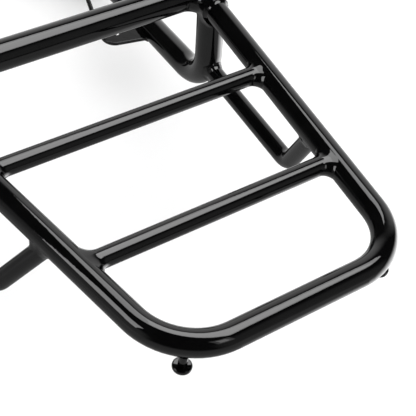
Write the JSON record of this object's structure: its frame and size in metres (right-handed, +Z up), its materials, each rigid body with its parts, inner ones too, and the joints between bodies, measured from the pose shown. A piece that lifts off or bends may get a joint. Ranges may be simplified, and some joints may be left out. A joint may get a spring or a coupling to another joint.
{
  "type": "folding luggage rack",
  "caption": "Tubular scooter luggage rack: a tapered U-shaped platform on cranked side arms that folds up about two sprung side hinges.",
  "frame": {"origin": "centre of the four mounting slots, on the underside of the foot pads", "axes": "+X to the rack's right, across the vehicle; +Y towards the vehicle, so -Y is the platform's free end; +Z up from the mounting face"},
  "size_m": [0.3786, 0.586, 0.152],
  "materials": {
    "frame_paint": "gloss",
    "bracket_paint": "satin",
    "zinc": "satin",
    "spring_steel": "satin",
    "bush_bronze": "satin",
    "rubber": "matte",
    "plug_plastic": "matte"
  },
  "bodies": {
    "base": {"bracket_left": "bracket_paint", "bracket_right": "bracket_paint", "buffer_left": "rubber", "buffer_right": "rubber", "coil_spacer_left": "zinc", "coil_spacer_right": "zinc", "foot_pad_left": "rubber", "foot_pad_right": "rubber", "lock_nut_left": "zinc", "lock_nut_right": "zinc", "pivot_bolt_left": "zinc", "pivot_bolt_right": "zinc", "pivot_washers_left": "zinc", "pivot_washers_right": "zinc", "stop_sleeve_left": "rubber", "stop_sleeve_right": "rubber", "tie_bar": "bracket_paint", "tie_bar_plug_left": "plug_plastic", "tie_bar_plug_right": "plug_plastic"},
    "rack": {"brace_left": "frame_paint", "brace_right": "frame_paint", "cross_bar_front": "frame_paint", "cross_bar_rear": "frame_paint", "hinge_barrel_left": "frame_paint", "hinge_barrel_right": "frame_paint", "hinge_bushes_left": "bush_bronze", "hinge_bushes_right": "bush_bronze", "loop_tube": "frame_paint", "rear_tube": "frame_paint", "side_tube_left": "frame_paint", "side_tube_right": "frame_paint", "spring_tab_left": "frame_paint", "spring_tab_right": "frame_paint", "strap_stud_left": "frame_paint", "strap_stud_right": "frame_paint", "torsion_spring_left": "spring_steel", "torsion_spring_right": "spring_steel"}
  },
  "joints": [
    {"name": "fold", "type": "hinge", "parent": "base", "child": "rack", "pos_m": [0, -0.065, 0.024], "axis": [-1, 0, 0], "range_deg": [0, 95], "stiffness_Nm_per_rad": 0.6, "springref_deg": 95, "deforming": ["torsion_spring_right", "torsion_spring_left"]}
  ]
}
